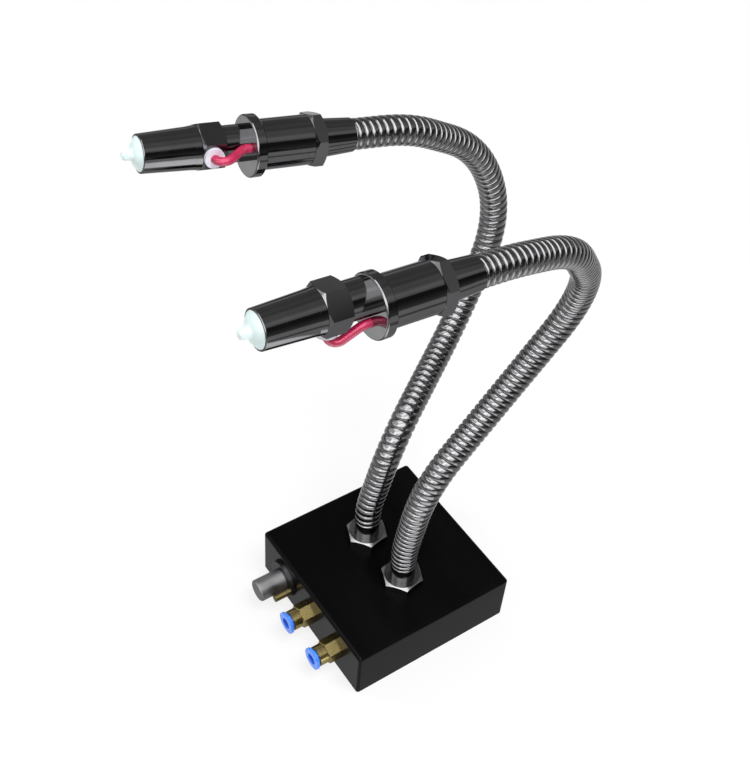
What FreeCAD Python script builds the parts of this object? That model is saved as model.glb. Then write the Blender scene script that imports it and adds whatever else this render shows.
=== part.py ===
import FreeCAD, Part
import math
import os
import re

import Sketcher
from FreeCAD import Placement, Rotation, Vector

# Twin ionizing air nozzle on a block base: two ringed goosenecks rise from the base,
# and each carries a metal nozzle with a side-entry lead and an insulated emitter tip.
# Millimetres, +Z up. The origin is the centre of the base's underside, and the
# connectors are on the face towards -Y.

SIZES = [
    # Clearances
    ("slip_fit", 0.05),
    ("running_fit", 0.08),
    ("air_gap", 0.3),
    # Bevel on the corners of every hexagon
    ("bevel_angle", 30),
    ("bevel_inset", 0.5),
    # Base housing and its ballast plate
    ("base_width", 100),
    ("base_depth", 100),
    ("base_height", 32),
    ("base_edge_round", 2),
    ("base_corner_round", 1.6),
    ("side_wall", 6),
    ("roof_thickness", 8),
    ("plate_thickness", 8),
    ("boss_radius", 5.5),
    ("boss_inset", 13),
    ("screw_radius", 2),
    ("screw_length", 15),
    ("screw_head_radius", 4),
    ("screw_head_depth", 2),
    # Connectors on the front face
    ("port_height", 15.4),
    ("port_side_margin", 23.2),
    ("hv_flange_radius", 11.3),
    ("hv_flange_step_radius", 10.95),
    ("hv_flange_thickness", 1.1),
    ("hv_flange_step", 0.9),
    ("hv_shell_radius", 6.45),
    ("hv_shell_length", 16),
    ("hv_shell_chamfer", 0.5),
    ("hv_tail_radius", 5),
    ("hv_tail_length", 5),
    ("earth_stud_radius", 2.1),
    ("earth_stud_length", 9.8),
    ("earth_stud_tail_radius", 1.5),
    ("earth_stud_right", 8.7),
    ("earth_stud_down", 1.5),
    ("fitting_hex_flats", 12),
    ("fitting_hex_length", 7.5),
    ("fitting_nose_radius", 5.7),
    ("fitting_nose_length", 4.8),
    ("fitting_thread_radius", 4.8),
    ("fitting_tail_length", 5),
    ("fitting_air_radius", 2),
    ("tube_radius", 3),
    ("tube_seat_length", 8),
    ("ring_flange_radius", 6.4),
    ("ring_flange_thickness", 1.5),
    ("ring_sleeve_radius", 4.3),
    ("ring_sleeve_length", 4.8),
    ("ring_travel", 1.2),
    ("seal_thickness", 1.2),
    # Neck sockets on top of the base
    ("neck_spacing", 35.5),
    ("neck_setback", -1),
    ("base_nut_flats", 21),
    ("base_nut_height", 5),
    ("base_nut_turn", 9),
    ("socket_radius", 6.95),
    ("socket_length", 9.5),
    ("socket_flange_radius", 9),
    ("socket_flange_thickness", 2),
    # Gooseneck
    ("neck_crest_radius", 7.4),
    ("neck_groove_radius", 6.5),
    ("neck_cuff_radius", 6),
    ("neck_ring_pitch", 7),
    ("cuff_depth", 6),
    ("air_hose_radius", 3),
    ("air_hose_bend", 9),
    ("air_hose_elbow", 6.5),
    ("air_hose_run", 6),
    # Nozzle, from the neck to the tip
    ("ferrule_length", 16.3),
    ("ferrule_rear_radius", 7.9),
    ("ferrule_front_radius", 8.9),
    ("ferrule_spigot_radius", 6.5),
    ("rear_hex_flats", 23),
    ("rear_hex_length", 6.5),
    ("barrel_radius", 11.35),
    ("barrel_length", 24.5),
    ("barrel_bore_radius", 10),
    ("flange_radius", 14),
    ("flange_thickness", 5),
    ("flange_chamfer", 0.4),
    ("flange_round", 0.9),
    ("flange_spigot_length", 6),
    ("stem_offset", 4.8),
    ("stem_radius", 8.4),
    ("stem_length", 10.1),
    ("tail_radius", 4.2),
    ("tail_air_radius", 2.8),
    ("tail_length", 11),
    ("front_hex_flats", 20),
    ("front_hex_length", 11.5),
    ("collar_rear_radius", 9.8),
    ("collar_front_radius", 9.55),
    ("collar_length", 3),
    ("body_bore_radius", 6.6),
    ("body_bore_floor", 4),
    ("shroud_seat_length", 8),
    ("shroud_rear_radius", 9.5),
    ("shroud_front_radius", 8.6),
    ("shroud_bore_radius", 7.8),
    ("shroud_length", 23.3),
    ("shroud_edge", 0.4),
    # Insulated tip and emitter
    ("insulator_rear_gap", 2),
    ("insulator_shank_length", 29),
    ("insulator_waist_radius", 3.4),
    ("insulator_disc_thickness", 5),
    ("air_hole_radius", 1.1),
    ("air_hole_circle", 4.9),
    ("dome_radius", 10.5),
    ("nipple_radius", 2.3),
    ("nipple_height", 7.3),
    ("nipple_round", 1.7),
    ("nipple_fillet", 2.4),
    ("emitter_radius", 0.75),
    ("emitter_point_length", 3),
    ("emitter_end_wall", 1),
    # Lead from the flange to the emitter
    ("bushing_height", 17),
    ("bushing_disc_radius", 4.6),
    ("bushing_disc_thickness", 1.8),
    ("bushing_shank_radius", 3.2),
    ("bushing_shank_length", 3.2),
    ("lead_radius", 2),
    ("lead_hole_offset", 6.4),
    ("lead_loop_reach", 19.5),
    ("lead_entry_height", 3.6),
    ("lead_entry_bend", 7),
    ("lead_overrun", 3),
    # Where each nozzle's rear end sits from the top of its socket, and how it points
    ("nozzle_1_right", -50.8),
    ("nozzle_1_back", 9.1),
    ("nozzle_1_up", 224.7),
    ("nozzle_1_heading", -6.9),
    ("nozzle_1_rise", 8),
    ("nozzle_1_lead_roll", -77),
    ("nozzle_1_hole_turn", 12),
    ("nozzle_1_bushing_turn", -8),
    ("nozzle_1_hex_turn", -18),
    ("nozzle_1_neck_run", 32),
    ("nozzle_2_right", 22.3),
    ("nozzle_2_back", -0.1),
    ("nozzle_2_up", 225.8),
    ("nozzle_2_heading", -1.3),
    ("nozzle_2_rise", 4.5),
    ("nozzle_2_lead_roll", -116),
    ("nozzle_2_hole_turn", -36),
    ("nozzle_2_bushing_turn", -52),
    ("nozzle_2_hex_turn", -39),
    ("nozzle_2_neck_run", 19.5),
]

# The bends of each gooseneck between its socket and its nozzle, from the socket's top.
NECK_BENDS = {
    1: [(0, 0, 10.8), (0.5, 11.8, 59.6), (-39.2, 81.8, 89.2), (-47.4, 108.4, 141.7), (-50.2, 89.8, 190.3)],
    2: [(0, 0, 13.6), (2.7, 5.6, 62.2), (-2.3, 58.4, 107.7), (3.6, 95.6, 163.5), (20.8, 56.1, 214.7)],
}

BEND_SHARE = 0.48

doc = FreeCAD.newDocument("IonizingAirNozzle")
sheet = doc.addObject("Spreadsheet::Sheet", "Sizes")
for row, (name, number) in enumerate(SIZES, 1):
    sheet.set(f"A{row}", name)
    sheet.set(f"B{row}", str(number))
    sheet.setAlias(f"B{row}", name)
doc.recompute()

pieces = []


# Sizes and sketches


def bound(text):
    """The sheet's form of a formula written with plain size names."""
    return re.sub(r"\b([a-z]\w*)\b(?!\()", r"Sizes.\1", str(text))


def value(text):
    return float(sheet.evalExpression(bound(text)))


def origin_plane(body, role):
    return next(plane for plane in body.Origin.OriginFeatures if plane.Role == role)


def sketch_on(body, role, name):
    sketch = body.newObject("Sketcher::SketchObject", name)
    sketch.AttachmentSupport = [(origin_plane(body, role), "")]
    sketch.MapMode = "FlatFace"
    return sketch


def hold(sketch, direction, line, point, text):
    """Fix a point of a line at a size from the sketch's origin, or on the axis itself."""
    if text == "0":
        # A sketch numbers its horizontal axis -1 and its vertical axis -2.
        axis = -2 if direction == "DistanceX" else -1
        sketch.addConstraint(Sketcher.Constraint("PointOnObject", line, point, axis))
        return
    # Point 1 of the horizontal axis is the sketch's origin.
    index = sketch.addConstraint(Sketcher.Constraint(direction, -1, 1, line, point, value(text)))
    sketch.setExpression(f"Constraints[{index}]", bound(text))


def arc_to(start, end, radius):
    """The short arc that bulges to the right of the way from start to end."""
    chord = end - start
    rise = math.sqrt(radius**2 - (chord.Length / 2) ** 2)
    inward = Vector(-chord.y, chord.x, 0).normalize()
    centre = (start + end) * 0.5 + inward * rise
    return Part.Arc(start, centre - inward * radius, end)


def draw_outline(sketch, corners):
    """A closed outline, each corner held by two sizes; a third size rounds the way to the next corner.

    A minus before the third size makes that way hollow. Every arc of a sketch turns the same way,
    so a hollow one is drawn from its end and starts at its point 2.
    """
    spots = [Vector(value(corner[0]), value(corner[1]), 0) for corner in corners]
    after = spots[1:] + spots[:1]
    starts = []
    for corner, start, end in zip(corners, spots, after):
        radius = corner[2] if len(corner) == 3 else None
        hollow = radius is not None and radius.startswith("-")
        starts.append(2 if hollow else 1)
        if hollow:
            sketch.addGeometry(arc_to(end, start, value(radius[1:])))
        elif radius is not None:
            sketch.addGeometry(arc_to(start, end, value(radius)))
        else:
            sketch.addGeometry(Part.LineSegment(start, end))
    follows = list(range(1, len(spots))) + [0]
    sketch.addConstraint(
        [
            Sketcher.Constraint("Coincident", line, 3 - starts[line], follow, starts[follow])
            for line, follow in enumerate(follows)
        ]
    )
    for line, corner in enumerate(corners):
        hold(sketch, "DistanceX", line, starts[line], corner[0])
        hold(sketch, "DistanceY", line, starts[line], corner[1])
        if len(corner) == 3:
            size = corner[2].lstrip("-")
            index = sketch.addConstraint(Sketcher.Constraint("Radius", line, value(size)))
            sketch.setExpression(f"Constraints[{index}]", bound(size))


def new_body(label):
    body = doc.addObject("PartDesign::Body", label)
    pieces.append(body)
    return body


def spin(body, kind, name, corners):
    """Turn an outline of (radius, height) corners about the body's own Z axis."""
    sketch = sketch_on(body, "XZ_Plane", name + "Outline")
    draw_outline(sketch, corners)
    feature = body.newObject(kind, name)
    feature.Profile = sketch
    feature.ReferenceAxis = (sketch, ["V_Axis"])
    feature.Angle = 360
    return feature


def turned(label, corners):
    body = new_body(label)
    spin(body, "PartDesign::Revolution", "Turned", corners)
    return body


def set_at(feature, body, right="0", back="0", up="0", rotation=None):
    """Attach a primitive to its body's base plane at sizes from the body's origin."""
    feature.AttachmentSupport = [(origin_plane(body, "XY_Plane"), "")]
    feature.MapMode = "FlatFace"
    spot = Vector(value(right), value(back), value(up))
    feature.AttachmentOffset = Placement(spot, rotation or Rotation())
    for axis, text in (("x", right), ("y", back), ("z", up)):
        feature.setExpression(f"AttachmentOffset.Base.{axis}", bound(text))


def hexagon(body, name, flats, height, up="0", turn=0):
    """A six-sided block whose flats face 0, 60, 120 degrees and so on from the X axis."""
    block = body.newObject("PartDesign::AdditivePrism", name)
    block.Polygon = 6
    block.setExpression("Circumradius", bound(f"({flats}) / sqrt(3)"))
    block.setExpression("Height", bound(height))
    set_at(block, body, up=up, rotation=Rotation(Vector(0, 0, 1), 30 + turn))
    return block


def bevel(body, name, flats, end, direction):
    """Turn the corners off a hexagon's end, whose outside faces up (1) or down (-1)."""
    inner = f"({flats}) / 2 - bevel_inset"
    outer = f"({flats}) * 0.6"
    lower = f"({end}) - ({direction}) * (({outer}) - ({inner})) * tan(bevel_angle)"
    spin(body, "PartDesign::Groove", name, [(inner, end), (outer, end), (outer, lower)])


def drill(body, name, radius, depth, right="0", back="0", up="0", rotation=None):
    hole = body.newObject("PartDesign::SubtractiveCylinder", name)
    hole.setExpression("Radius", bound(radius))
    hole.setExpression("Height", bound(depth))
    set_at(hole, body, right, back, up, rotation)
    return hole


def edges_where(feature, wanted):
    return [f"Edge{i}" for i, edge in enumerate(feature.Shape.Edges, 1) if wanted(edge)]


def rounded(body, name, base, edges, radius):
    fillet = body.newObject("PartDesign::Fillet", name)
    fillet.Base = (base, edges)
    fillet.setExpression("Radius", bound(radius))
    return fillet


def shaped(label, shape, placement=None):
    """A piece whose form comes from the shape functions."""
    feature = doc.addObject("Part::Feature", label)
    feature.Shape = shape
    if placement:
        feature.Placement = placement
    pieces.append(feature)
    return feature


# Swept paths


def rounded_path(points, radii):
    """Straight runs joined by tangent arcs, one radius for each inner point."""
    edges = []
    here = points[0]
    for before, corner, after, radius in zip(points, points[1:], points[2:], radii):
        back = (before - corner).normalize()
        ahead = (after - corner).normalize()
        half = back.getAngle(ahead) / 2
        trim = radius / math.tan(half)
        bisector = (back + ahead).normalize()
        centre = corner + bisector * (radius / math.sin(half))
        start = corner + back * trim
        end = corner + ahead * trim
        edges.append(Part.LineSegment(here, start).toShape())
        edges.append(Part.Arc(start, centre - bisector * radius, end).toShape())
        here = end
    edges.append(Part.LineSegment(here, points[-1]).toShape())
    return edges


def widest_radii(points):
    """The largest radius that each bend's shorter run allows."""
    radii = []
    for before, corner, after in zip(points, points[1:], points[2:]):
        back = before - corner
        ahead = after - corner
        trim = BEND_SHARE * min(back.Length, ahead.Length)
        radii.append(trim * math.tan(back.getAngle(ahead) / 2))
    return radii


def round_tube(edges, radius):
    """A solid rod along a path, with its volume compared with its section times its length."""
    first = edges[0]
    section = Part.Circle(first.valueAt(first.FirstParameter), first.tangentAt(first.FirstParameter), radius)
    rod = Part.Wire(edges).makePipeShell([Part.Wire([section.toShape()])], True, False)
    expected = math.pi * radius**2 * sum(edge.Length for edge in edges)
    if abs(rod.Volume - expected) > expected * 0.001:
        raise ValueError("a swept rod has the wrong volume")
    return rod


def ring_sections(edges, pitch):
    """Places along a path at half-pitch steps, each carried on from the last without twist."""
    total = sum(edge.Length for edge in edges)
    steps = 2 * max(round(total / pitch), 1)
    stride = total / steps
    places = []
    passed = 0
    rotation = Rotation()
    heading = Vector(0, 0, 1)
    for edge in edges:
        while len(places) <= steps and len(places) * stride <= passed + edge.Length * (1 + 1e-9):
            spot = edge.getParameterByLength(min(len(places) * stride - passed, edge.Length))
            tangent = edge.tangentAt(spot)
            rotation = Rotation(heading, tangent).multiply(rotation)
            heading = tangent
            places.append(Placement(edge.valueAt(spot), rotation))
        passed += edge.Length
    return places


# Base


def screw_spots():
    """The four fastening points, as sizes from the centre of the base."""
    return [
        (f"{right} * (base_width / 2 - boss_inset)", f"{back} * (base_depth / 2 - boss_inset)")
        for right in (-1, 1)
        for back in (-1, 1)
    ]


def make_base_housing():
    """A block hollowed from below, with a boss at each corner of the cavity."""
    body = new_body("base_housing")
    block = body.newObject("PartDesign::AdditiveBox", "Block")
    for side, size in (("Length", "base_width"), ("Width", "base_depth"), ("Height", "base_height")):
        block.setExpression(side, bound(size))
    set_at(block, body, "-base_width / 2", "-base_depth / 2")
    doc.recompute()
    uprights = edges_where(block, lambda edge: abs(edge.tangentAt(edge.FirstParameter).z) > 0.9)
    corners = rounded(body, "CornerRounds", block, uprights, "base_corner_round")
    doc.recompute()
    top = value("base_height") - 1e-6
    rim = edges_where(corners, lambda edge: edge.BoundBox.ZMin > top)
    rounded(body, "TopRounds", corners, rim, "base_edge_round")
    cavity = body.newObject("PartDesign::SubtractiveBox", "Cavity")
    cavity.setExpression("Length", bound("base_width - 2 * side_wall"))
    cavity.setExpression("Width", bound("base_depth - 2 * side_wall"))
    cavity.setExpression("Height", bound("base_height - roof_thickness"))
    set_at(cavity, body, "side_wall - base_width / 2", "side_wall - base_depth / 2")
    for corner, (right, back) in enumerate(screw_spots(), 1):
        boss = body.newObject("PartDesign::AdditiveCylinder", f"Boss{corner}")
        boss.setExpression("Radius", bound("boss_radius"))
        boss.setExpression("Height", bound("base_height - roof_thickness - plate_thickness"))
        set_at(boss, body, right, back, "plate_thickness")
        depth = "screw_length + air_gap - plate_thickness"
        drill(body, f"Thread{corner}", "screw_radius", depth, right, back, "plate_thickness")
    for side in (-1, 1):
        middle = f"{side} * neck_spacing / 2"
        floor = "base_height - roof_thickness"
        socket = "socket_radius + slip_fit"
        drill(body, "SocketHole", socket, "roof_thickness", middle, "neck_setback", floor)
    face = "side_wall - base_depth / 2"
    outward = Rotation(Vector(1, 0, 0), 90)
    ports = {-1: "hv_tail_radius", 0: "fitting_thread_radius", 1: "fitting_thread_radius"}
    for place, radius in ports.items():
        across = f"{place} * (base_width / 2 - port_side_margin)"
        drill(body, "PortHole", f"{radius} + slip_fit", "side_wall", across, face, "port_height", outward)


def make_base_plate():
    """A steel slab set flush into the underside."""
    body = new_body("base_plate")
    slab = body.newObject("PartDesign::AdditiveBox", "Slab")
    edge = "side_wall + slip_fit"
    slab.setExpression("Length", bound(f"base_width - 2 * ({edge})"))
    slab.setExpression("Width", bound(f"base_depth - 2 * ({edge})"))
    slab.setExpression("Height", bound("plate_thickness"))
    set_at(slab, body, f"{edge} - base_width / 2", f"{edge} - base_depth / 2")
    for corner, (right, back) in enumerate(screw_spots(), 1):
        drill(body, f"Hole{corner}", "screw_radius + slip_fit", "plate_thickness", right, back)
        sink = body.newObject("PartDesign::SubtractiveCone", f"Countersink{corner}")
        sink.setExpression("Radius1", bound("screw_head_radius + slip_fit"))
        sink.setExpression("Radius2", bound("screw_radius + slip_fit"))
        sink.setExpression("Height", bound("screw_head_depth"))
        set_at(sink, body, right, back)


def make_base_plate_screws():
    """Four countersunk screws, flush with the underside."""
    shank_radius = value("screw_radius - slip_fit")
    head = Part.makeCone(value("screw_head_radius"), shank_radius, value("screw_head_depth"))
    screw = head.fuse(Part.makeCylinder(shank_radius, value("screw_length"))).removeSplitter()
    spots = [Vector(value(right), value(back), 0) for right, back in screw_spots()]
    shaped("base_plate_screws", Part.makeCompound([screw.translated(spot) for spot in spots]))


# Connectors


def port_place(place, outward):
    """A place on a connector's axis, its own Z axis pointing out of the front face."""
    across = value(f"{place} * (base_width / 2 - port_side_margin)")
    spot = Vector(across, -value(f"base_depth / 2 + {outward}"), value("port_height"))
    return Placement(spot, Rotation(Vector(1, 0, 0), 90))


def make_hv_connector():
    """A stepped flange, a closed shell through it and the wall, and an earth stud beside it."""
    bore = "hv_tail_radius + slip_fit"
    thickness = "(hv_flange_thickness + hv_flange_step)"
    flange = turned(
        "hv_flange",
        [
            (bore, "0"),
            ("hv_flange_radius", "0"),
            ("hv_flange_radius", "hv_flange_thickness"),
            ("hv_flange_step_radius", "hv_flange_thickness"),
            ("hv_flange_step_radius", thickness),
            (bore, thickness),
        ],
    )
    stud_hole = "earth_stud_tail_radius + slip_fit"
    drill(flange, "StudHole", stud_hole, thickness, "earth_stud_right", "-earth_stud_down")
    flange.Placement = port_place(-1, "0")
    shoulder = f"side_wall + hv_tail_length + {thickness}"
    shell = turned(
        "hv_shell",
        [
            ("0", "0"),
            ("hv_tail_radius", "0"),
            ("hv_tail_radius", shoulder),
            ("hv_shell_radius", shoulder),
            ("hv_shell_radius", f"{shoulder} + hv_shell_length - hv_shell_chamfer"),
            ("hv_shell_radius - hv_shell_chamfer", f"{shoulder} + hv_shell_length"),
            ("0", f"{shoulder} + hv_shell_length"),
        ],
    )
    shell.Placement = port_place(-1, "-(side_wall + hv_tail_length)")
    stud = turned(
        "earth_stud",
        [
            ("0", "0"),
            ("earth_stud_tail_radius", "0"),
            ("earth_stud_tail_radius", thickness),
            ("earth_stud_radius", thickness),
            ("earth_stud_radius", f"{thickness} + earth_stud_length"),
            ("0", f"{thickness} + earth_stud_length"),
        ],
    )
    aside = Vector(value("earth_stud_right"), value("-earth_stud_down"), 0)
    stud.Placement = port_place(-1, "0").multiply(Placement(aside, Rotation()))


def make_fitting(number):
    """A push-in tube fitting with its seal and its release ring."""
    inside = "(side_wall + fitting_tail_length)"
    mouth = "(fitting_hex_length + fitting_nose_length)"
    seal_floor = f"({mouth} - ring_sleeve_length - seal_thickness)"
    mouth_radius = "ring_sleeve_radius + running_fit"
    tube_hole = "tube_radius + slip_fit"
    loose_hole = "tube_radius + air_gap"
    body = turned(
        f"fitting_body_{number}",
        [
            ("fitting_air_radius", "0"),
            ("fitting_thread_radius", "0"),
            ("fitting_thread_radius", inside),
            ("fitting_nose_radius", inside),
            ("fitting_nose_radius", f"{inside} + {mouth}"),
            (mouth_radius, f"{inside} + {mouth}"),
            (mouth_radius, f"{inside} + {seal_floor}"),
            (tube_hole, f"{inside} + {seal_floor}"),
            (tube_hole, f"{inside} + {seal_floor} - tube_seat_length"),
            ("fitting_air_radius", f"{inside} + {seal_floor} - tube_seat_length"),
        ],
    )
    hexagon(body, "Hexagon", "fitting_hex_flats", "fitting_hex_length", inside)
    bevel(body, "Bevel", "fitting_hex_flats", f"{inside} + fitting_hex_length", 1)
    drill(body, "TubeSeat", tube_hole, seal_floor, up=inside)
    drill(body, "Mouth", mouth_radius, f"{mouth} - {seal_floor}", up=f"{inside} + {seal_floor}")
    body.Placement = port_place(number - 1, f"-{inside}")
    seal = turned(
        f"tube_seal_{number}",
        [
            (loose_hole, "0"),
            ("ring_sleeve_radius", "0"),
            ("ring_sleeve_radius", "seal_thickness"),
            (loose_hole, "seal_thickness"),
        ],
    )
    seal.Placement = port_place(number - 1, seal_floor)
    ring_end = "ring_sleeve_length + ring_flange_thickness"
    ring = turned(
        f"release_ring_{number}",
        [
            (loose_hole, "0"),
            ("ring_sleeve_radius", "0"),
            ("ring_sleeve_radius", "ring_sleeve_length"),
            ("ring_flange_radius", "ring_sleeve_length"),
            ("ring_flange_radius", ring_end),
            (loose_hole, ring_end),
        ],
    )
    ring.Placement = port_place(number - 1, f"{mouth} + ring_travel + air_gap - ring_sleeve_length")


# Necks and their sockets


def socket_place(number, up):
    side = -1 if number == 1 else 1
    spot = Vector(value(f"{side} * neck_spacing / 2"), value("neck_setback"), value(up))
    return Placement(spot, Rotation())


def make_neck_socket(number):
    """A flanged socket held through the roof by a hexagon nut."""
    shoulder = "socket_flange_thickness"
    top = f"({shoulder} + roof_thickness + base_nut_height + socket_length)"
    hose_hole = "air_hose_radius + air_gap"
    cuff_seat = "neck_cuff_radius + slip_fit"
    socket = turned(
        f"base_ferrule_{number}",
        [
            (hose_hole, "0"),
            ("socket_flange_radius", "0"),
            ("socket_flange_radius", shoulder),
            ("socket_radius", shoulder),
            ("socket_radius", top),
            (cuff_seat, top),
            (cuff_seat, f"{top} - cuff_depth"),
            (hose_hole, f"{top} - cuff_depth"),
        ],
    )
    socket.Placement = socket_place(number, "base_height - roof_thickness - socket_flange_thickness")
    nut = new_body(f"base_nut_{number}")
    hexagon(nut, "Hexagon", "base_nut_flats", "base_nut_height")
    bevel(nut, "Bevel", "base_nut_flats", "base_nut_height", 1)
    drill(nut, "Bore", "socket_radius + slip_fit", "base_nut_height")
    turn = Placement(Vector(), Rotation(Vector(0, 0, 1), value("base_nut_turn")))
    nut.Placement = socket_place(number, "base_height").multiply(turn)


def neck_points(number):
    """The neck's line from its socket's top to the rear of its nozzle."""
    top = socket_place(number, "base_height + base_nut_height + socket_length").Base
    forward = nozzle_direction(number)
    rear = nozzle_rear(number)
    bends = [top + Vector(*bend) for bend in NECK_BENDS[number]]
    return [top] + bends + [rear - forward * value(f"nozzle_{number}_neck_run"), rear]


def make_gooseneck(number):
    """A ringed flexible arm: crests and grooves along the neck's line, and a smooth cuff at each end."""
    points = neck_points(number)
    radii = widest_radii(points)
    print(f"gooseneck {number} bend radii", [round(radius) for radius in radii])
    path = rounded_path(points, radii)
    sections = []
    for step, place in enumerate(ring_sections(path, value("neck_ring_pitch"))):
        radius = value("neck_crest_radius") if step % 2 else value("neck_groove_radius")
        section = Part.Wire([Part.Circle(Vector(), Vector(0, 0, 1), radius).toShape()])
        section.Placement = place
        sections.append(section)
    rings = Part.makeLoft(sections, True, True)
    cuff_radius = value("neck_cuff_radius")
    cuff = value("cuff_depth")
    lower = Part.makeCylinder(cuff_radius, cuff, points[0], Vector(0, 0, -1))
    upper = Part.makeCylinder(cuff_radius, cuff, points[-1], nozzle_direction(number))
    shaped(f"gooseneck_{number}", rings.fuse([lower, upper]).Solids[0])


def make_air_hose(number):
    """The hose inside the base, from the fitting's tail up into the neck's socket."""
    tail = port_place(number - 1, "-(side_wall + fitting_tail_length + slip_fit)").Base
    lead_in = tail + Vector(0, value("air_hose_run"), 0)
    cuff_end = "base_height + base_nut_height + socket_length - cuff_depth - slip_fit"
    end = socket_place(number, cuff_end).Base
    turn_up = Vector(end.x, end.y, tail.z)
    radii = [value("air_hose_bend"), value("air_hose_elbow")]
    path = rounded_path([tail, lead_in, turn_up, end], radii)
    shaped(f"air_hose_{number}", round_tube(path, value("air_hose_radius")))


# Nozzles


NOZZLE_LENGTH = "(ferrule_length + rear_hex_length + barrel_length + flange_thickness)"
STEM_TO_SHROUD = "(stem_length + front_hex_length + collar_length)"


def nozzle_direction(number):
    heading = math.radians(value(f"nozzle_{number}_heading"))
    rise = math.radians(value(f"nozzle_{number}_rise"))
    level = math.cos(rise)
    return Vector(math.sin(heading) * level, -math.cos(heading) * level, math.sin(rise))


def nozzle_rear(number):
    top = socket_place(number, "base_height + base_nut_height + socket_length").Base
    return top + Vector(*[value(f"nozzle_{number}_{way}") for way in ("right", "back", "up")])


def nozzle_frame(number):
    """The flange's front plane on the barrel's axis: Z to the tip, X away from the lead's hole."""
    forward = nozzle_direction(number)
    up = (Vector(0, 0, 1) - forward * forward.z).normalize()
    roll = math.radians(value(f"nozzle_{number}_lead_roll"))
    lead_side = up * math.cos(roll) + forward.cross(up) * math.sin(roll)
    across = lead_side * -1
    origin = nozzle_rear(number) + forward * value(NOZZLE_LENGTH)
    return Placement(origin, Rotation(across, forward.cross(across), forward, "ZXY"))


def on_barrel(number, along, turn="0"):
    local = Placement(Vector(0, 0, value(along)), Rotation(Vector(0, 0, 1), value(turn)))
    return nozzle_frame(number).multiply(local)


def on_stem(number, along):
    """A place on the offset stem's axis, turned so that local X points at the bushing."""
    turn = value(f"180 + nozzle_{number}_bushing_turn")
    local = Placement(Vector(value("stem_offset"), 0, value(along)), Rotation(Vector(0, 0, 1), turn))
    return nozzle_frame(number).multiply(local)


def make_end_ferrule(number):
    """A tapered sleeve that takes the neck's cuff and plugs into the barrel."""
    cuff_seat = "neck_cuff_radius + slip_fit"
    hose_hole = "air_hose_radius + air_gap"
    front = "ferrule_length + rear_hex_length"
    ferrule = turned(
        f"end_ferrule_{number}",
        [
            (cuff_seat, "0"),
            ("ferrule_rear_radius", "0"),
            ("ferrule_front_radius", "ferrule_length"),
            ("ferrule_spigot_radius", "ferrule_length"),
            ("ferrule_spigot_radius", front),
            (hose_hole, front),
            (hose_hole, "cuff_depth"),
            (cuff_seat, "cuff_depth"),
        ],
    )
    ferrule.Placement = on_barrel(number, f"-{NOZZLE_LENGTH}")


def make_barrel(number):
    """A bored barrel with a hexagon round its closed rear end."""
    seat = "ferrule_spigot_radius + slip_fit"
    front = "rear_hex_length + barrel_length"
    barrel = turned(
        f"barrel_{number}",
        [
            (seat, "0"),
            ("barrel_radius", "0"),
            ("barrel_radius", front),
            ("barrel_bore_radius", front),
            ("barrel_bore_radius", "rear_hex_length"),
            (seat, "rear_hex_length"),
        ],
    )
    hexagon(barrel, "Hexagon", "rear_hex_flats", "rear_hex_length")
    bevel(barrel, "FrontBevel", "rear_hex_flats", "rear_hex_length", 1)
    bevel(barrel, "RearBevel", "rear_hex_flats", "0", -1)
    drill(barrel, "FerruleSeat", seat, "rear_hex_length")
    barrel.Placement = on_barrel(number, f"-(flange_thickness + {front})", f"nozzle_{number}_hex_turn")


def lead_hole(number):
    """Where the lead enters the flange, turned about the barrel's axis from the side away from the stem."""
    turn = f"nozzle_{number}_hole_turn"
    return f"-lead_hole_offset * cos({turn})", f"-lead_hole_offset * sin({turn})"


def make_front_flange(number):
    """A disc that closes the barrel, holed for the stem's tail and for the lead."""
    spigot = "flange_spigot_length"
    front = f"({spigot} + flange_thickness)"
    spigot_radius = "barrel_bore_radius - slip_fit"
    flange = turned(
        f"front_flange_{number}",
        [
            ("0", "0"),
            (spigot_radius, "0"),
            (spigot_radius, spigot),
            ("flange_radius - flange_chamfer", spigot),
            ("flange_radius", f"{spigot} + flange_chamfer"),
            ("flange_radius", f"{front} - flange_round", "flange_round"),
            ("flange_radius - flange_round", front),
            ("0", front),
        ],
    )
    drill(flange, "TailHole", "tail_radius + slip_fit", front, "stem_offset")
    right, back = lead_hole(number)
    drill(flange, "LeadHole", "lead_radius + running_fit", front, right, back)
    flange.Placement = on_barrel(number, f"-{front}")


def make_hex_body(number):
    """The turned stem: a tail in the flange, a hexagon, a tapered collar and the shroud's seat."""
    hex_start = "(tail_length + stem_length)"
    collar_start = f"({hex_start} + front_hex_length)"
    seat_start = f"({collar_start} + collar_length)"
    seat_end = f"({seat_start} + shroud_seat_length)"
    floor = "(tail_length + body_bore_floor)"
    seat_radius = "shroud_bore_radius - slip_fit"
    body = turned(
        f"hex_body_{number}",
        [
            ("tail_air_radius", "0"),
            ("tail_radius", "0"),
            ("tail_radius", "tail_length"),
            ("stem_radius", "tail_length"),
            ("stem_radius", collar_start),
            ("collar_rear_radius", collar_start),
            ("collar_front_radius", seat_start),
            (seat_radius, seat_start),
            (seat_radius, seat_end),
            ("body_bore_radius", seat_end),
            ("body_bore_radius", floor),
            ("tail_air_radius", floor),
        ],
    )
    hexagon(body, "Hexagon", "front_hex_flats", "front_hex_length", hex_start)
    bevel(body, "RearBevel", "front_hex_flats", hex_start, -1)
    bevel(body, "FrontBevel", "front_hex_flats", collar_start, 1)
    drill(body, "Bore", "body_bore_radius", f"{seat_end} - {floor}", up=floor)
    sideways = Rotation(Vector(0, 1, 0), 90)
    height = "tail_length + bushing_height"
    hole_radius = "bushing_shank_radius + slip_fit"
    drill(body, "BushingHole", hole_radius, "front_hex_flats", "body_bore_radius / 2", "0", height, sideways)
    body.Placement = on_stem(number, "-tail_length")


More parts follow.
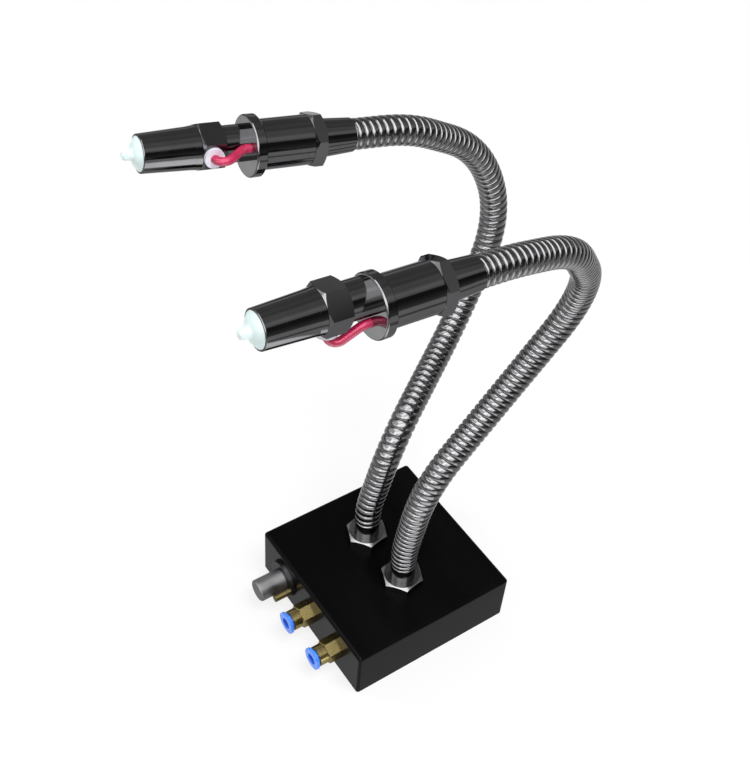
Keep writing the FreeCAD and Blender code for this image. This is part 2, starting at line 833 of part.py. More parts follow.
def make_shroud(number):
    """The tapered metal cone round the insulator."""
    shroud = turned(
        f"shroud_{number}",
        [
            ("shroud_bore_radius", "0"),
            ("shroud_rear_radius", "0"),
            ("shroud_front_radius", "shroud_length - shroud_edge", "shroud_edge"),
            ("shroud_front_radius - shroud_edge", "shroud_length"),
            ("shroud_bore_radius", "shroud_length"),
        ],
    )
    shroud.Placement = on_stem(number, STEM_TO_SHROUD)


def make_tip(number):
    """The insulator with its four air holes, domed disc and nipple, and the emitter pin in it."""
    start = "(body_bore_floor + insulator_rear_gap)"
    face = f"({STEM_TO_SHROUD} + shroud_length - {start})"
    disc_start = f"({face} - insulator_disc_thickness)"
    disc_radius = "(shroud_bore_radius - running_fit)"
    dome_centre = f"({face} - sqrt(dome_radius ^ 2 - {disc_radius} ^ 2))"
    reach = "(dome_radius + nipple_fillet)"
    fillet_centre = "(nipple_radius + nipple_fillet)"
    fillet_rise = f"sqrt({reach} ^ 2 - {fillet_centre} ^ 2)"
    dome_share = f"dome_radius / {reach}"
    dome_edge = f"{fillet_centre} * {dome_share}"
    dome_rise = f"{dome_centre} + {fillet_rise} * {dome_share}"
    tip_end = f"({face} + nipple_height)"
    insulator = turned(
        f"tip_insulator_{number}",
        [
            ("0", "0"),
            ("body_bore_radius - slip_fit", "0"),
            ("body_bore_radius - slip_fit", "insulator_shank_length"),
            ("insulator_waist_radius", "insulator_shank_length"),
            ("insulator_waist_radius", disc_start),
            (disc_radius, disc_start),
            (disc_radius, face, "dome_radius"),
            (dome_edge, dome_rise, "-nipple_fillet"),
            ("nipple_radius", f"{dome_centre} + {fillet_rise}"),
            ("nipple_radius", f"{tip_end} - nipple_round", "nipple_round"),
            ("nipple_radius - nipple_round", tip_end),
            ("0", tip_end),
        ],
    )
    diagonal = "air_hole_circle / sqrt(2)"
    first_hole = drill(
        insulator, "AirHole", "air_hole_radius", "insulator_shank_length", diagonal, diagonal
    )
    around = insulator.newObject("PartDesign::PolarPattern", "AirHoles")
    around.Originals = [first_hole]
    around.Axis = (origin_plane(insulator, "Z_Axis"), [""])
    around.Angle = 360
    around.Occurrences = 4
    insulator.Tip = around
    pin_radius = "emitter_radius + slip_fit"
    drill(insulator, "PinBore", pin_radius, f"{tip_end} - emitter_end_wall")
    sideways = Rotation(Vector(0, 1, 0), 90)
    height = f"bushing_height - {start}"
    drill(insulator, "LeadHole", "lead_radius + slip_fit", "body_bore_radius", up=height, rotation=sideways)
    insulator.Placement = on_stem(number, start)
    length = f"({tip_end} - emitter_end_wall - slip_fit)"
    pin = turned(
        f"emitter_pin_{number}",
        [
            ("0", "0"),
            ("emitter_radius", "0"),
            ("emitter_radius", f"{length} - emitter_point_length"),
            ("0", length),
        ],
    )
    pin.Placement = on_stem(number, start)


def make_lead(number):
    """The bushing on the hexagon's flat and the lead that loops from it into the flange."""
    hole = "lead_radius + slip_fit"
    disc_end = "(bushing_shank_length + bushing_disc_thickness)"
    bushing = turned(
        f"lead_bushing_{number}",
        [
            (hole, "0"),
            ("bushing_shank_radius", "0"),
            ("bushing_shank_radius", "bushing_shank_length"),
            ("bushing_disc_radius", "bushing_shank_length"),
            ("bushing_disc_radius", disc_end),
            (hole, disc_end),
        ],
    )
    sideways = Rotation(Vector(0, 1, 0), 90)
    inset = Placement(Vector(value("front_hex_flats / 2 - bushing_shank_length"), 0, 0), sideways)
    bushing.Placement = on_stem(number, "bushing_height").multiply(inset)

    frame = nozzle_frame(number)
    stem = on_stem(number, "bushing_height")
    start = stem.multVec(Vector(value("emitter_radius + slip_fit"), 0, 0))
    loop = stem.multVec(Vector(value("lead_loop_reach"), 0, 0))
    right, back = [value(way) for way in lead_hole(number)]
    entry = frame.multVec(Vector(right, back, value("lead_entry_height")))
    overrun = value("flange_thickness + flange_spigot_length + lead_overrun")
    end = frame.multVec(Vector(right, back, -overrun))
    straight_end = value("front_hex_flats / 2 + bushing_disc_thickness + slip_fit")
    half = (start - loop).getAngle(entry - loop) / 2
    loop_radius = (value("lead_loop_reach") - straight_end) * math.tan(half)
    print(f"lead {number} bend radii", round(loop_radius, 1), value("lead_entry_bend"))
    path = rounded_path([start, loop, entry, end], [loop_radius, value("lead_entry_bend")])
    shaped(f"red_lead_{number}", round_tube(path, value("lead_radius")))


# Building and writing


def build():
    make_base_housing()
    make_base_plate()
    make_base_plate_screws()
    make_hv_connector()
    for number in (1, 2):
        make_fitting(number)
        make_neck_socket(number)
        make_gooseneck(number)
        make_air_hose(number)
        make_end_ferrule(number)
        make_barrel(number)
        make_front_flange(number)
        make_hex_body(number)
        make_shroud(number)
        make_tip(number)
        make_lead(number)
    doc.recompute()


def check():
    """Every object must have recomputed cleanly, and every piece must be a valid solid."""
    for thing in doc.Objects:
        if "Invalid" in thing.State or "Error" in thing.State:
            raise ValueError(f"{thing.Label} did not recompute")
    for piece in pieces:
        if piece.Shape.isNull() or not piece.Shape.isValid() or not piece.Shape.Solids:
            raise ValueError(f"{piece.Label} is not a valid solid")


def write():
    os.makedirs("parts", exist_ok=True)
    for piece in pieces:
        piece.Shape.exportStep(f"parts/{piece.Label}.step")
        print(piece.Label, len(piece.Shape.Solids), round(piece.Shape.Volume))


build()
check()
write()
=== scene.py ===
import math

import bpy
import numpy as np
from mathutils import Matrix, Vector


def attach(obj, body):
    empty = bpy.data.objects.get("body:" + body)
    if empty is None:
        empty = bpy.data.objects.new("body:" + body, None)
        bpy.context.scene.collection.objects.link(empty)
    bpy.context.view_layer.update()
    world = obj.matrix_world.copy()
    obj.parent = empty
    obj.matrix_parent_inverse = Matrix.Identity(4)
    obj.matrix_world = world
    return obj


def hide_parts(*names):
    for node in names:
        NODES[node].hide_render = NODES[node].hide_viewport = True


# The looks of the twin ionizing air nozzle: finishes for the CAD pieces, the two
# goosenecks at their real ring pitch, and the studio. Metres, in the CAD's frame.

MM = 0.001
RIGHTWARD = Vector((1, 0, 0))
FORWARD = Vector((0, -1, 0))
UPWARD = Vector((0, 0, 1))

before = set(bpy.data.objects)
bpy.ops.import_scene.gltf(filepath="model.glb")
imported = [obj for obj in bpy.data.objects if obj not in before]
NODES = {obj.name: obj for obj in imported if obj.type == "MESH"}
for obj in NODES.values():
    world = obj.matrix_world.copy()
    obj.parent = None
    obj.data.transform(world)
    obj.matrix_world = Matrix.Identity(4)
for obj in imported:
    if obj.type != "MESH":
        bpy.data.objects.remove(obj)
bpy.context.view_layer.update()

# Sizes repeated from the CAD, in millimetres and degrees

BASE_DEPTH = 100
SOCKET_TOP = 46.5
NECK_SIDE = 17.75
NECK_SETBACK = -1
NECK_CUFF = 6.0
BEND_SHARE = 0.48
NECK_BENDS = {
    1: [
        (0, 0, 10.8), (0.5, 11.8, 59.6), (-39.2, 81.8, 89.2),
        (-47.4, 108.4, 141.7), (-50.2, 89.8, 190.3),
    ],
    2: [
        (0, 0, 13.6), (2.7, 5.6, 62.2), (-2.3, 58.4, 107.7),
        (3.6, 95.6, 163.5), (20.8, 56.1, 214.7),
    ],
}
NOZZLES = {
    1: {"rear": (-50.8, 9.1, 224.7), "heading": -6.9, "rise": 8, "lead_roll": -77, "run": 32},
    2: {"rear": (22.3, -0.1, 225.8), "heading": -1.3, "rise": 4.5, "lead_roll": -116, "run": 19.5},
}
NOZZLE_LENGTH = 52.3
STEM_OFFSET = 4.8
PORT_HEIGHT = 15.4
PORT_SPACING = 26.8


# Frames of the turned pieces


def nozzle_direction(number):
    heading = math.radians(NOZZLES[number]["heading"])
    rise = math.radians(NOZZLES[number]["rise"])
    level = math.cos(rise)
    return Vector((math.sin(heading) * level, -math.cos(heading) * level, math.sin(rise)))


def socket_top(number):
    side = -1 if number == 1 else 1
    return Vector((side * NECK_SIDE, NECK_SETBACK, SOCKET_TOP))


def nozzle_rear(number):
    return socket_top(number) + Vector(NOZZLES[number]["rear"])


def frame_of(origin, across, forward):
    """The matrix of a frame in metres: X across, Z forward."""
    side = forward.cross(across)
    turn = Matrix((across, side, forward)).transposed().to_4x4()
    return Matrix.Translation(origin * MM) @ turn


def nozzle_frame(number, offset=0):
    """The flange's front plane: Z to the tip, X away from the lead's hole."""
    forward = nozzle_direction(number)
    up = (UPWARD - forward * forward.z).normalized()
    roll = math.radians(NOZZLES[number]["lead_roll"])
    across = -(up * math.cos(roll) + forward.cross(up) * math.sin(roll))
    origin = nozzle_rear(number) + forward * NOZZLE_LENGTH + across * offset
    return frame_of(origin, across, forward)


def port_frame(place):
    """A port in the base's front face; the middle one has place 0."""
    origin = Vector((place * PORT_SPACING, -BASE_DEPTH / 2, PORT_HEIGHT))
    return frame_of(origin, RIGHTWARD, FORWARD)


# Node trees

WHITE = (1, 1, 1, 1)
# The part of a noise's range that holds nearly all of its values
NOISE_RANGE = (0.3, 0.7)


class Tree:
    """The node tree of a material or a world, built node by node."""

    def __init__(self, owner):
        self.owner = owner
        owner.use_nodes = True
        self.tree = owner.node_tree
        self.tree.nodes.clear()

    def feed(self, socket, entry):
        """Give a socket another node's output or a constant."""
        if isinstance(entry, bpy.types.NodeSocket):
            self.tree.links.new(entry, socket)
        else:
            socket.default_value = entry

    def add(self, kind, inputs=None, **settings):
        node = self.tree.nodes.new(kind)
        for name, setting in settings.items():
            setattr(node, name, setting)
        for name, entry in (inputs or {}).items():
            self.feed(node.inputs[name], entry)
        return node

    def surface(self, shader, output="ShaderNodeOutputMaterial"):
        self.add(output, {"Surface": shader})

    def place(self):
        """The surface's own place, in metres."""
        return self.add("ShaderNodeTexCoord").outputs["Object"]

    def parts(self, vector):
        return tuple(self.add("ShaderNodeSeparateXYZ", {"Vector": vector}).outputs)

    def length(self, vector):
        node = self.add("ShaderNodeVectorMath", {0: vector}, operation="LENGTH")
        return node.outputs["Value"]

    def math(self, operation, *sources):
        node = self.add("ShaderNodeMath", dict(enumerate(sources)), operation=operation)
        return node.outputs[0]

    def mapped(self, value, start, end, **settings):
        """A value taken from the range start to the range end, and held at its bounds."""
        bounds = dict(zip(("From Min", "From Max", "To Min", "To Max"), (*start, *end)))
        node = self.add("ShaderNodeMapRange", {"Value": value, **bounds}, **settings)
        return node.outputs["Result"]

    def ramp(self, fac, colours):
        """A smooth ramp over colours, each with its place from 0 to 1."""
        node = self.add("ShaderNodeValToRGB", {"Fac": fac})
        stops = node.color_ramp.elements
        while len(stops) < len(colours):
            stops.new(0.5)
        for stop, (spot, colour) in zip(stops, colours):
            stop.position = spot
            stop.color = (*colour, 1)
        return node.outputs["Color"]

    def glow(self, level):
        return self.add("ShaderNodeEmission", {"Color": WHITE, "Strength": level}).outputs[0]

    def mixed_shaders(self, share, first, second):
        return self.add("ShaderNodeMixShader", {0: share, 1: first, 2: second}).outputs[0]

    def seen_ray(self):
        """1 for the rays that see the background: camera, glossy and transmission."""
        path = self.add("ShaderNodeLightPath").outputs
        seen = self.math("MAXIMUM", path["Is Camera Ray"], path["Is Glossy Ray"])
        return self.math("MAXIMUM", seen, path["Is Transmission Ray"])


class Finish(Tree):
    """A material of one principled shader, with constants on some of its sockets."""

    def __init__(self, name, **constants):
        super().__init__(bpy.data.materials.new(name))
        self.shader = self.add("ShaderNodeBsdfPrincipled")
        self.surface(self.shader.outputs["BSDF"])
        for key, constant in constants.items():
            self.shader.inputs[key.replace("_", " ")].default_value = constant

    def dressed(self, colour, roughness, normal):
        """The material, with its three driven sockets."""
        self.feed(self.shader.inputs["Base Color"], colour)
        self.feed(self.shader.inputs["Roughness"], roughness)
        self.feed(self.shader.inputs["Normal"], normal)
        return self.owner

    def round_place(self, origin):
        """Distance from a turned piece's axis and height along it, as one vector."""
        inverse = origin.inverted()
        turned = self.add(
            "ShaderNodeMapping",
            {
                "Vector": self.place(),
                "Location": inverse.translation,
                "Rotation": inverse.to_euler("XYZ"),
            },
        )
        x, y, z = self.parts(turned.outputs["Vector"])
        flat = self.add("ShaderNodeCombineXYZ", {"X": x, "Y": y}).outputs[0]
        return self.add("ShaderNodeCombineXYZ", {"X": self.length(flat), "Y": z}).outputs[0]

    def stretched(self, vector, scale):
        return self.add("ShaderNodeMapping", {"Vector": vector, "Scale": scale}).outputs["Vector"]

    def noise(self, vector, scale, detail, roughness=0.5):
        inputs = {"Vector": vector, "Scale": scale, "Detail": detail, "Roughness": roughness}
        return self.add("ShaderNodeTexNoise", inputs).outputs["Fac"]

    def spread(self, noise, low, high):
        return self.mapped(noise, NOISE_RANGE, (low, high))

    def drift(self, noise, colour, tint, ends=NOISE_RANGE):
        """From one colour to the other over a noise's range."""
        return self.ramp(noise, list(zip(ends, (colour, tint))))

    def mixed(self, fac, first, second):
        """One colour or the other: the node takes colours at 6 and 7 and gives one at 2."""
        node = self.add("ShaderNodeMix", {0: fac, 6: first, 7: second}, data_type="RGBA")
        return node.outputs[2]

    def bump(self, height, depth, **under):
        inputs = {"Height": height, "Distance": depth, **under}
        return self.add("ShaderNodeBump", inputs).outputs["Normal"]


# Kinds of finish

# The metals' edges darken at grazing angles
METAL_EDGE = (0.55, 0.55, 0.56, 1)
# How far behind a flange's front plane its painted reflection, a lighter face colour, reaches, and
# how far that colour drifts
FACE_DEPTH = 0.00005
FACE_DRIFT = 1.15
# The black coat's and the necks' colours, each with its tint
COAT_BLACK = ((0.0016, 0.0016, 0.0018), (0.0032, 0.0032, 0.0036))
NECK_GREY = ((0.094, 0.094, 0.097), (0.124, 0.124, 0.127))
# How noise is drawn out along X, Y and Z, as cycles a metre
BRUSH_STRETCH = (300, 300, 3000)
WIPE_STRETCH = (12, 40, 30)

# Depths of the surface marks, in metres
TOOL_MARKS = 1.2e-6
FAINT_MARKS = 4e-7
BRUSH_MARKS = 2e-6
MOULD_SKIN = 3e-6
COAT_GRAIN = 4e-6
NECK_GRAIN = 1.5e-6


def turned_metal(name, origin, colour, tint, roughness, marks=TOOL_MARKS, face=None):
    """Polished turned metal: fine tool marks round its axis, faint smears and a little drift.

    A lighter colour goes on what lies at the frame's own plane, the front of a flange: a painted
    reflection, not a coat of its own.
    """
    finish = Finish(name, Metallic=1.0, Specular_Tint=METAL_EDGE)
    rounds = finish.round_place(origin)
    lines = finish.noise(rounds, scale=2600, detail=3, roughness=0.7)
    smear = finish.noise(finish.place(), scale=90, detail=4)
    shade = finish.drift(smear, colour, tint)
    # The lighter face colour is a painted reflection on the same metal
    if face:
        height = finish.parts(rounds)[1]
        at_face = finish.math("GREATER_THAN", height, -FACE_DEPTH)
        painted_reflection = finish.drift(smear, face, tuple(part * FACE_DRIFT for part in face))
        shade = finish.mixed(at_face, shade, painted_reflection)
    gloss = finish.spread(smear, low=roughness * 0.75, high=roughness * 1.35)
    return finish.dressed(shade, gloss, finish.bump(lines, marks))


def brushed_metal(name, colour, tint, roughness, stretch=BRUSH_STRETCH):
    """Brushed or drawn metal: one grain, finest along the axis of the largest stretch."""
    finish = Finish(name, Metallic=1.0)
    spot = finish.place()
    grain = finish.noise(finish.stretched(spot, stretch), scale=1, detail=3)
    smear = finish.noise(spot, scale=60, detail=3)
    shade = finish.drift(smear, colour, tint)
    gloss = finish.spread(grain, low=roughness * 0.8, high=roughness * 1.3)
    return finish.dressed(shade, gloss, finish.bump(grain, BRUSH_MARKS))


def moulded(name, colour, tint, roughness, **constants):
    """Moulded plastic or rubber: soft mottling and a fine matt skin."""
    finish = Finish(name, **constants)
    spot = finish.place()
    mottle = finish.noise(spot, scale=160, detail=3)
    skin = finish.noise(spot, scale=2200, detail=2)
    shade = finish.drift(mottle, colour, tint)
    gloss = finish.spread(mottle, low=roughness * 0.85, high=roughness * 1.2)
    return finish.dressed(shade, gloss, finish.bump(skin, MOULD_SKIN))


def black_coat(name):
    """Satin black coating: a fine orange-peel grain, sparse specks and faint wipe marks."""
    finish = Finish(name, Specular_IOR_Level=0.035)
    spot = finish.place()
    wipe = finish.noise(finish.stretched(spot, WIPE_STRETCH), scale=1, detail=4)
    peel = finish.noise(spot, scale=2400, detail=2)
    speck = finish.noise(spot, scale=700, detail=1)
    shade = finish.drift(wipe, *COAT_BLACK, ends=(0.25, 0.75))
    gloss = finish.spread(wipe, low=0.2, high=0.28)
    fine = finish.bump(peel, COAT_GRAIN)
    return finish.dressed(shade, gloss, finish.bump(speck, COAT_GRAIN, Normal=fine))


def neck_metal(name):
    """Plain polished metal of the wound necks, smeared by hands."""
    finish = Finish(name, Metallic=1.0)
    spot = finish.place()
    smear = finish.noise(spot, scale=120, detail=4)
    fine = finish.noise(spot, scale=1800, detail=2)
    gloss = finish.spread(smear, low=0.14, high=0.24)
    return finish.dressed(finish.drift(smear, *NECK_GREY), gloss, finish.bump(fine, NECK_GRAIN))


# Looks of the CAD pieces: colour, the tint it drifts to, and roughness

CHROME = ((0.088, 0.088, 0.091), (0.1, 0.1, 0.102), 0.08)
# A flange face's painted reflection: a lighter colour on the same chrome
FACE_PAINTED_REFLECTION = (0.24, 0.24, 0.242)
FOOT_CHROME = ((0.13, 0.13, 0.132), (0.16, 0.16, 0.16), 0.1)
NUT_CHROME = ((0.12, 0.12, 0.122), (0.16, 0.16, 0.16), 0.2)
NOSE_BRASS = ((0.31, 0.25, 0.103), (0.23, 0.178, 0.072), 0.24)
RING_BLUE = ((0.052, 0.235, 0.95), (0.06, 0.265, 0.98), 0.3)
TIP_WHITE = ((0.7, 0.82, 0.8), (0.76, 0.87, 0.85), 0.4)
BUSHING_WHITE = ((0.72, 0.68, 0.8), (0.8, 0.77, 0.86), 0.35)
LEAD_RED = ((0.38, 0.004, 0.05), (0.47, 0.008, 0.08), 0.34)
SEAL_BLACK = ((0.012, 0.012, 0.012), (0.02, 0.02, 0.02), 0.6)
HOSE_CLEAR = ((0.6, 0.66, 0.7), (0.66, 0.72, 0.76), 0.35)
PIN_METAL = ((0.5, 0.5, 0.5), (0.6, 0.6, 0.6), 0.25)
PLATE_STEEL = ((0.5, 0.5, 0.5), (0.58, 0.58, 0.57), 0.35)
PLATE_STRETCH = (60, 2400, 60)
SCREW_ZINC = ((0.55, 0.55, 0.53), (0.65, 0.64, 0.6), 0.3)
FLANGE_DARK = ((0.05, 0.05, 0.052), (0.08, 0.08, 0.083), 0.3)
SHELL_SATIN = ((0.137, 0.137, 0.139), (0.183, 0.183, 0.185), 0.4)
STUD_BRASS = ((0.13, 0.11, 0.05), (0.2, 0.16, 0.07), 0.3)


def dress(node, material):
    slots = NODES[node].data.materials
    slots.clear()
    slots.append(material)


for number in (1, 2):
    nozzle = nozzle_frame(number)
    stem = nozzle_frame(number, STEM_OFFSET)
    foot = frame_of(socket_top(number), RIGHTWARD, UPWARD)
    port = port_frame(number - 1)
    on_barrel = turned_metal(f"barrel_chrome_{number}", nozzle, *CHROME)
    # The flange's front face gets a painted reflection, lighter than its chrome
    on_flange = turned_metal(f"flange_chrome_and_reflection_{number}", nozzle, *CHROME, face=FACE_PAINTED_REFLECTION)
    on_stem = turned_metal(f"stem_chrome_{number}", stem, *CHROME)
    finishes = {
        "end_ferrule": on_barrel,
        "barrel": on_barrel,
        "front_flange": on_flange,
        "hex_body": on_stem,
        "shroud": on_stem,
        "base_ferrule": turned_metal(f"foot_chrome_{number}", foot, *FOOT_CHROME),
        "base_nut": turned_metal(f"nut_chrome_{number}", foot, *NUT_CHROME),
        "fitting_body": turned_metal(f"nose_brass_{number}", port, *NOSE_BRASS, FAINT_MARKS),
        "release_ring": moulded(f"ring_blue_{number}", *RING_BLUE),
        "tip_insulator": moulded(f"tip_white_{number}", *TIP_WHITE, Subsurface_Weight=0.15),
        "lead_bushing": moulded(f"bushing_white_{number}", *BUSHING_WHITE),
        "red_lead": moulded(f"lead_red_{number}", *LEAD_RED),
        "tube_seal": moulded(f"seal_black_{number}", *SEAL_BLACK),
        "air_hose": moulded(f"hose_clear_{number}", *HOSE_CLEAR),
        "emitter_pin": brushed_metal(f"pin_metal_{number}", *PIN_METAL),
    }
    for piece, material in finishes.items():
        dress(f"{piece}_{number}", material)

dress("base_housing", black_coat("housing_black"))
dress("base_plate", brushed_metal("plate_steel", *PLATE_STEEL, PLATE_STRETCH))
dress("base_plate_screws", brushed_metal("screw_zinc", *SCREW_ZINC))
dress("hv_flange", turned_metal("flange_dark", port_frame(-1), *FLANGE_DARK))
dress("hv_shell", turned_metal("shell_satin", port_frame(-1), *SHELL_SATIN))
dress("earth_stud", turned_metal("stud_brass", port_frame(-1), *STUD_BRASS))


# Goosenecks, in millimetres until they are made

LINE_STEP = 0.5
EASING_ROUNDS = 60
HELD_PLACES = 12
RING_PITCH = {1: 3.6, 2: 3.2}
RING_SEGMENTS = 48
CREST = 7.4
# The rounded strip: share of the pitch, and distance from the neck's centre line
RING_PROFILE = [
    (0.0, 6.58), (0.03, 6.78), (0.07, 6.97), (0.13, 7.14), (0.21, 7.27), (0.33, 7.37),
    (0.5, CREST), (0.67, 7.37), (0.79, 7.27), (0.87, 7.14), (0.93, 6.97), (0.97, 6.78),
]
# The most that a bend spreads the turns
WIDEST_SPREAD = 0.4
# How far from an end the strip comes up from the cuff
RIM_FADE = 0.35


def neck_line(number):
    """The neck's centre line: the CAD's runs and arcs, an arc with a place about each mm."""
    top = socket_top(number)
    rear = nozzle_rear(number)
    corners = [top] + [top + Vector(bend) for bend in NECK_BENDS[number]]
    corners += [rear - nozzle_direction(number) * NOZZLES[number]["run"], rear]
    spots = [corners[0]]
    for before, corner, after in zip(corners, corners[1:], corners[2:]):
        back = before - corner
        ahead = after - corner
        trim = BEND_SHARE * min(back.length, ahead.length)
        back.normalize()
        ahead.normalize()
        half = back.angle(ahead) / 2
        bisector = (back + ahead).normalized()
        radius = trim * math.tan(half)
        centre = corner + bisector * (radius / math.sin(half))
        first = corner + back * trim - centre
        last = corner + ahead * trim - centre
        steps = max(2, round(radius * first.angle(last)))
        for step in range(steps + 1):
            spots.append(centre + first.slerp(last, step / steps) * radius)
    spots.append(corners[-1])
    return np.array([list(spot) for spot in spots])


def distances(spots):
    """How far along a line of places each of them lies."""
    gaps = np.linalg.norm(np.diff(spots, axis=0), axis=1)
    return np.concatenate([[0], np.cumsum(gaps)])


def resampled(wanted, along, vectors):
    """The vectors that stand at the distances along, read off at the wanted distances."""
    return np.column_stack([np.interp(wanted, along, column) for column in vectors.T])


def even_spots(spots):
    """Places at even steps along a line of places."""
    along = distances(spots)
    count = round(along[-1] / LINE_STEP) + 1
    return resampled(np.linspace(0, along[-1], count), along, spots)


def eased(spots):
    """The line with its curvature evened out; the places held at each end stay."""
    spots = spots.copy()
    before = slice(HELD_PLACES - 1, -HELD_PLACES - 1)
    moved = slice(HELD_PLACES, -HELD_PLACES)
    after = slice(HELD_PLACES + 1, len(spots) - HELD_PLACES + 1)
    for _ in range(EASING_ROUNDS):
        spots[moved] += 0.5 * ((spots[before] + spots[after]) / 2 - spots[moved])
    return spots


def carried_frames(spots):
    """For each place, the way ahead and two sideways directions carried on without twist."""
    ahead = np.gradient(spots, axis=0)
    ahead /= np.linalg.norm(ahead, axis=1)[:, None]
    side = np.cross(ahead[0], (0, 1, 0))
    side /= np.linalg.norm(side)
    sides = []
    for way in ahead:
        side = side - way * (side @ way)
        side /= np.linalg.norm(side)
        sides.append(side.copy())
    sides = np.array(sides)
    return ahead, sides, np.cross(ahead, sides)


def turns_along(along, ahead, pitch):
    """Turns wound up to each place: in a bend they stay closed inside and spread outside."""
    curve = np.linalg.norm(np.gradient(ahead, along, axis=0), axis=1)
    rate = (1 - np.clip(curve * CREST, 0, WIDEST_SPREAD)) / pitch
    wound = np.concatenate([[0], np.cumsum((rate[1:] + rate[:-1]) / 2 * np.diff(along))])
    return wound * round(wound[-1]) / wound[-1]


def strip_lines(spots, pitch):
    """One line along the wound strip for each point of its profile.

    A turn has RING_SEGMENTS places. The first turn runs in before the neck's start, the
    last one out past its end, and both are folded in there to the cuff.
    """
    along = distances(spots)
    total = along[-1]
    ahead, side, other = carried_frames(spots)
    wound = turns_along(along, ahead, pitch)
    turns = round(wound[-1])
    count = np.arange((turns + 2) * RING_SEGMENTS + 1)
    angle = 2 * np.pi * count / RING_SEGMENTS
    cosine, sine = np.cos(angle)[:, None], np.sin(angle)[:, None]
    lines = []
    for share, radius in RING_PROFILE:
        turn = count / RING_SEGMENTS - 1 + share
        spot = np.interp(turn, wound, along) + (turn - np.clip(turn, 0, turns)) * pitch
        held = np.clip(spot, 0, total)
        centre, way, a, b = (resampled(held, along, part) for part in (spots, ahead, side, other))
        centre = centre + way * (spot - held)[:, None]
        inside = np.clip(np.minimum(spot, total - spot) / RIM_FADE, 0, 1)
        reach = NECK_CUFF + (radius - NECK_CUFF) * inside
        lines.append(centre + reach[:, None] * (a * cosine + b * sine))
    return np.array(lines)


def strip_faces(lines, steps):
    """The faces between neighbouring lines, and the rims left open at both ends."""
    last = steps - RING_SEGMENTS

    def index(line, step):
        """A place's number. After the last line comes the first one, a turn later."""
        later, line = divmod(line, lines)
        return line * (steps + 1) + step + later * RING_SEGMENTS

    faces = []
    for step in range(last):
        for line in range(lines):
            near = index(line, step), index(line, step + 1)
            far = index(line + 1, step + 1), index(line + 1, step)
            faces.append(near + far)
    lower = [index(0, step) for step in range(RING_SEGMENTS + 1)]
    lower += [index(line, 0) for line in range(lines - 1, 0, -1)]
    upper = [index(line, last) for line in range(lines)]
    upper += [index(0, last + step) for step in range(RING_SEGMENTS, 0, -1)]
    return faces, lower, upper


def placed(name, mesh, material):
    """A new object of the scene, in one material."""
    piece = bpy.data.objects.new(name, mesh)
    bpy.context.scene.collection.objects.link(piece)
    mesh.materials.append(material)
    return piece


def wound_neck(number, material):
    """A tube wound from one rounded strip, its turns a ring pitch apart, closed at both ends."""
    lines = strip_lines(eased(even_spots(neck_line(number))), RING_PITCH[number])
    vertices = [tuple(spot * MM) for spot in lines.reshape(-1, 3)]
    faces, lower, upper = strip_faces(len(lines), lines.shape[1] - 1)
    for rim, flip in ((lower, False), (upper, True)):
        middle = len(vertices)
        ring = np.array([vertices[spot] for spot in rim])
        vertices.append(tuple(ring.mean(axis=0)))
        for here, there in zip(rim, rim[1:] + rim[:1]):
            faces.append((there, middle, here) if flip else (here, middle, there))
    mesh = bpy.data.meshes.new(f"wound_neck_{number}")
    mesh.from_pydata(vertices, [], faces)
    mesh.validate()
    mesh.shade_smooth()
    return placed(f"wound_neck_{number}", mesh, material)


for number in (1, 2):
    neck = wound_neck(number, neck_metal(f"neck_metal_{number}"))
    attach(neck, "stand")
    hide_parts(f"gooseneck_{number}")


# Studio

FLOOR_REACH = 6.0
FLOOR_COLOUR = (0.92, 0.92, 0.92, 1)
# Distances between which the floor's own light rises, and its share at each of them
FLOOR_RISE = (0.3, 0.9)
FLOOR_SHARES = (0.8, 1.0)

HOOD_RADIUS = 1.6
HOOD_ROWS = 30
HOOD_COLUMNS = 64
# Height of the point from which the hood's angles are taken
HOOD_PIVOT = 0.28
# What the metal mirrors, by the angle about the Y axis from +X over the top to -X
HOOD_BANDS = [
    (-12, 0.35), (-6, 0.22), (4, 0.14), (14, 0.08), (22, 0.05), (33, 0.06), (37, 0.6), (44, 0.78),
    (52, 0.88), (56, 0.62), (66, 0.46), (76, 0.5), (84, 0.5), (89, 0.33), (98, 0.3), (104, 0.38),
    (116, 0.36), (128, 0.3), (140, 0.36), (152, 0.36), (160, 0.5), (165, 1.0), (175, 1.0),
    (179, 0.4), (192, 0.36),
]
# Panes of the window in degrees, and each one's share of the window's level: tilt from
# the front horizon over the top, then to the side
HOOD_PANES = [
    (8, 70, 10, 31, 1.0),
    (50, 96, -30, 31, 0.8),
    (8, 50, -50, 10, 0.25),
    (4, 13, -25, 10, 0.9),
    (36, 98, 31, 60, 0.8),
    (4, 36, 31, 58, 0.4),
]
HOOD_WINDOW_LEVEL = 8.5
# Half the width of a pane's soft edge, in radians
PANE_SOFTNESS = 0.03

# Cards on the floor, seen only in reflections: a grey line low on the metal, a bright patch
# on the bends. Two opposite corners and the level.
CARDS = {
    "grey_card": ((0.35, -0.6), (0.5, 2.0), 0.4),
    "bright_card": ((0.085, -0.32), (0.55, 0.015), 4.0),
}
CARD_HEIGHT = 0.004

# Square soft lamps: place, aim, side in metres and power in watts
LAMPS = {
    "key": ((0.6, 0.17, 1.8), (0, 0, 0.15), 0.8, 24),
    "fill": ((-0.8, -0.7, 0.7), (0, 0, 0.1), 0.35, 3),
}
# The world's light on the object, and what the rays see that look at it
WORLD_LEVELS = (0.55, 1.0)

# The camera that the photo was taken with: place, directions and focal length in its pixels
CAMERA_PLACE = (0.3276, -0.2665, 0.6002)
CAMERA_AHEAD = (-0.5536, 0.4217, -0.718)
CAMERA_RIGHT = (0.556, 0.829, 0.058)
FOCAL_PIXELS = 1239.2
PHOTO_HEIGHT = 782
SENSOR_WIDTH = 36
CLIP_RANGE = (0.01, 50)


